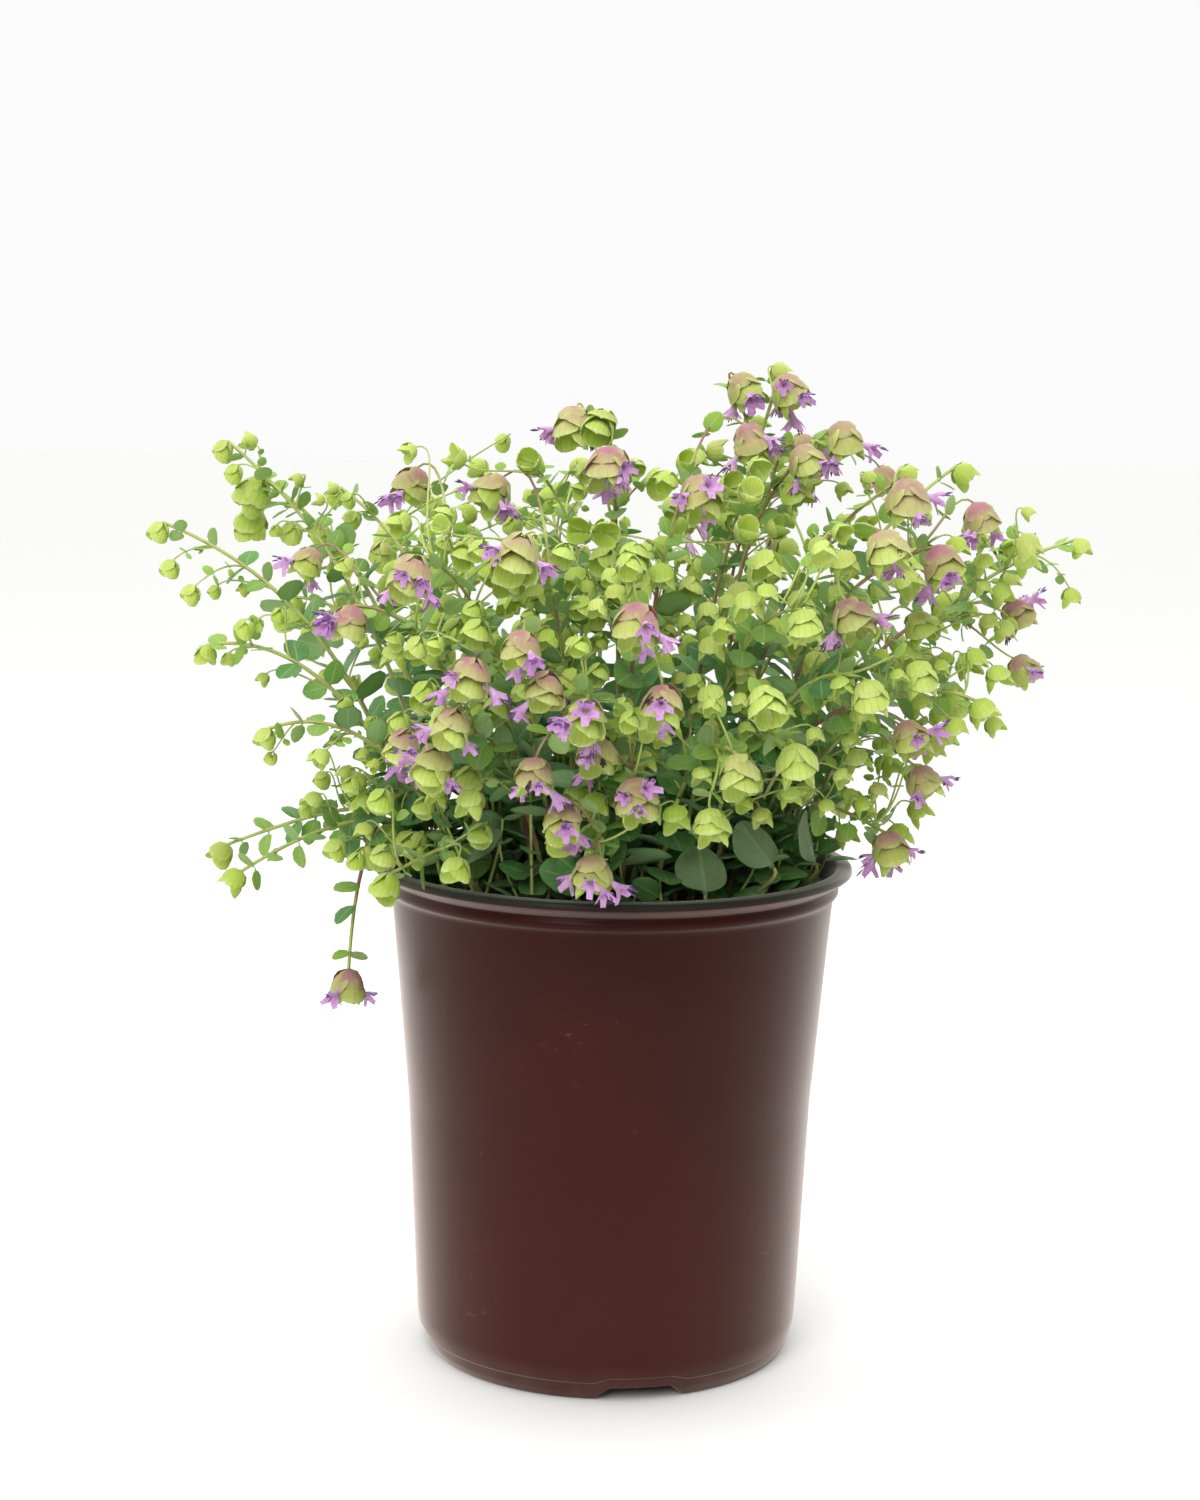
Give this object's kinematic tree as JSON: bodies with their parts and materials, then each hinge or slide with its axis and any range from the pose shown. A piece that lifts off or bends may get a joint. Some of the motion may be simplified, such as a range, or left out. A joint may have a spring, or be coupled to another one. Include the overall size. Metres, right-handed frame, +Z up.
{
  "type": "oregano plant in a nursery pot",
  "caption": "Flowering oregano in a tapered nursery pot: thin arching stems carry small round leaves, nodding hop-like heads of papery bracts and violet flowers. It stands on the pot's foot.",
  "frame": {"origin": "on the surface that the pot stands on, at the middle of the whole object's box, which is the pot's axis to about a millimetre", "axes": "+Z up along the pot's axis, -Y towards the front that the picture shows, +X to its right"},
  "size_m": [0.3199, 0.2822, 0.3369],
  "materials": {
    "pot_plastic": "maroon polypropylene with a soft sheen, dark green-black inside",
    "potting_mix": "loose moist bark and peat",
    "stem_in_bloom": "lime bracts flushed with rose, violet flowers, grey-green leaves",
    "stem_with_lime_bracts": "lime papery bracts and grey-green leaves on olive stems",
    "dark_leaf": "dark matt leaf"
  },
  "bodies": {
    "root": {"pot": "pot_plastic", "soil": "potting_mix", "stem_01": "stem_in_bloom", "stem_02": "stem_in_bloom", "stem_03": "stem_in_bloom", "stem_04": "stem_in_bloom", "stem_05": "stem_in_bloom", "stem_06": "stem_in_bloom", "stem_07": "stem_in_bloom", "stem_08": "stem_in_bloom", "stem_09": "stem_in_bloom", "stem_10": "stem_in_bloom", "stem_11": "stem_in_bloom", "stem_12": "stem_in_bloom", "stem_13": "stem_in_bloom", "stem_14": "stem_in_bloom", "stem_15": "stem_in_bloom", "stem_16": "stem_in_bloom", "stem_17": "stem_in_bloom", "stem_18": "stem_in_bloom", "stem_19": "stem_in_bloom", "stem_20": "stem_with_lime_bracts", "stem_21": "stem_with_lime_bracts", "stem_22": "stem_with_lime_bracts", "stem_23": "stem_with_lime_bracts", "stem_24": "stem_with_lime_bracts", "stem_25": "stem_with_lime_bracts", "stem_26": "stem_with_lime_bracts", "stem_27": "stem_with_lime_bracts", "stem_28": "stem_with_lime_bracts", "stem_29": "stem_with_lime_bracts", "stem_30": "stem_with_lime_bracts", "stem_31": "stem_with_lime_bracts", "stem_32": "stem_with_lime_bracts", "stem_33": "stem_with_lime_bracts", "stem_34": "stem_with_lime_bracts", "stem_35": "stem_with_lime_bracts", "stem_36": "stem_with_lime_bracts", "stem_37": "stem_in_bloom", "stem_38": "stem_with_lime_bracts", "stem_39": "stem_with_lime_bracts", "stem_40": "stem_in_bloom", "stem_41": "stem_with_lime_bracts", "stem_42": "stem_with_lime_bracts", "stem_43": "stem_in_bloom", "stem_44": "stem_with_lime_bracts", "stem_45": "stem_with_lime_bracts", "stem_46": "stem_in_bloom", "stem_47": "stem_with_lime_bracts", "stem_48": "stem_with_lime_bracts", "stem_49": "stem_in_bloom", "basal_leaf_1": "dark_leaf", "basal_leaf_2": "dark_leaf", "basal_leaf_3": "dark_leaf", "basal_leaf_4": "dark_leaf", "basal_leaf_5": "dark_leaf", "basal_leaf_6": "dark_leaf"}
  },
  "joints": []
}
